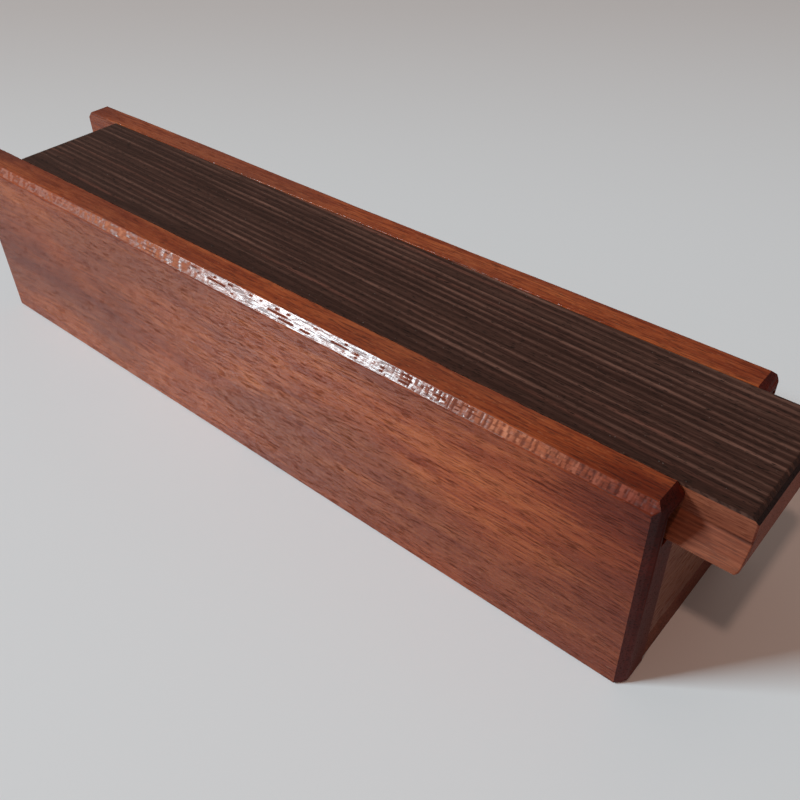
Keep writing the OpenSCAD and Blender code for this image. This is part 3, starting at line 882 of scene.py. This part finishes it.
def paleTable():
    # White laminate, pressed smooth: pale and even, with painted shade and painted reflection that make it
    # a little darker and pinker away from the viewer
    material, tree, shader = newMaterial("table_white_laminate")
    place = addNode(tree, "TexCoord", {}, {})
    away = addNode(tree, "VectorMath", {"operation": "DOT_PRODUCT"}, {
        0: place.outputs["Object"], 1: table["away"],
    })
    part = addNode(tree, "MapRange", {"interpolation_type": "SMOOTHSTEP"}, {
        "Value": away.outputs["Value"], "From Min": table["turns"][0], "From Max": table["turns"][1],
    })
    tone = addNode(tree, "Mix", {"data_type": "RGBA"}, {
        0: part.outputs[0], 6: linear(table["near"]), 7: linear(table["beyond"]),
    })
    tree.links.new(tone.outputs[2], shader.inputs["Base Color"])
    shader.inputs["Roughness"].default_value = table["roughness"]
    half = table["size"] / 2
    mesh = bpy.data.meshes.new("table")
    corners = [(-half, -half, 0), (half, -half, 0), (half, half, 0), (-half, half, 0)]
    mesh.from_pydata(corners, [], [(0, 1, 2, 3)])
    mesh.materials.append(material)
    tableTop = bpy.data.objects.new("table", mesh)
    bpy.context.scene.collection.objects.link(tableTop)


def areaLight(name, look):  # a flat light that stands "far" off and faces the box
    light = bpy.data.lights.new(name, "AREA")
    light.shape = "RECTANGLE"
    light.size, light.size_y = look["wide"], look["tall"]
    light.energy = look["power"]
    light.color = look["colour"]
    lamp = bpy.data.objects.new(name, light)
    lamp.location = Vector(look["towards"]).normalized() * look["far"]
    lamp.rotation_euler = Vector(look["towards"]).to_track_quat("Z", "Y").to_euler()
    bpy.context.scene.collection.objects.link(lamp)


def dimRoom():
    # Brighter above than at the horizon, as a room is; the camera and reflections see a plain backdrop
    world = bpy.data.worlds.new("room")
    bpy.context.scene.world = world
    world.use_nodes = True
    tree = world.node_tree
    tree.nodes.clear()
    place = addNode(tree, "TexCoord", {}, {})
    axes = addNode(tree, "SeparateXYZ", {}, {0: place.outputs["Generated"]})
    level = addNode(tree, "MapRange", {"interpolation_type": "SMOOTHSTEP"}, {
        "Value": axes.outputs["Z"], "From Min": room["heights"][0], "From Max": room["heights"][1],
        "To Min": room["horizon"], "To Max": room["above"],
    })
    light = addNode(tree, "Background", {}, {"Color": linear(room["colour"]), "Strength": level.outputs[0]})
    backdrop = addNode(tree, "Background", {}, {"Color": linear(room["backdrop"])})
    path = addNode(tree, "LightPath", {}, {})
    seen = path.outputs["Is Camera Ray"]
    for ray in ("Is Glossy Ray", "Is Transmission Ray"):
        seen = addNode(tree, "Math", {"operation": "MAXIMUM"}, {0: seen, 1: path.outputs[ray]}).outputs[0]
    mixed = addNode(tree, "MixShader", {}, {0: seen, 1: light.outputs[0], 2: backdrop.outputs[0]})
    addNode(tree, "OutputWorld", {}, {"Surface": mixed.outputs[0]})


# Matched to the photo: lengths are millimetres, and the angles are degrees
camera = {
    "lens": 40.08, "sensor": 36.0, "nearest": 5, "place": (141.75, -123.94, 155.40),
    "yaw": -41.616, "pitch": 39.741, "roll": 1.574,
}


def photoCamera():  # yaw turns the view right of +Y, pitch turns it down, and roll turns it about itself
    yaw, pitch, roll = (math.radians(camera[k]) for k in ("yaw", "pitch", "roll"))
    ahead = Vector((math.sin(yaw) * math.cos(pitch), math.cos(yaw) * math.cos(pitch), -math.sin(pitch)))
    right = Vector((math.cos(yaw), -math.sin(yaw), 0))
    down = ahead.cross(right)
    across = right * math.cos(roll) + down * math.sin(roll)
    below = down * math.cos(roll) - right * math.sin(roll)
    lens = bpy.data.cameras.new("camera")
    lens.sensor_width = camera["sensor"]
    lens.lens = camera["lens"]
    lens.clip_start = camera["nearest"] * mm
    eye = bpy.data.objects.new("camera", lens)
    turn = Matrix((across, -below, -ahead)).transposed().to_4x4()
    eye.matrix_world = Matrix.Translation(Vector(camera["place"]) * mm) @ turn
    bpy.context.scene.collection.objects.link(eye)
    bpy.context.scene.camera = eye


paleTable()
areaLight("window", windowLight)
areaLight("lamp", lampLight)
dimRoom()
photoCamera()
bpy.context.scene.view_settings.view_transform = "Standard"
print("table, light and camera set")
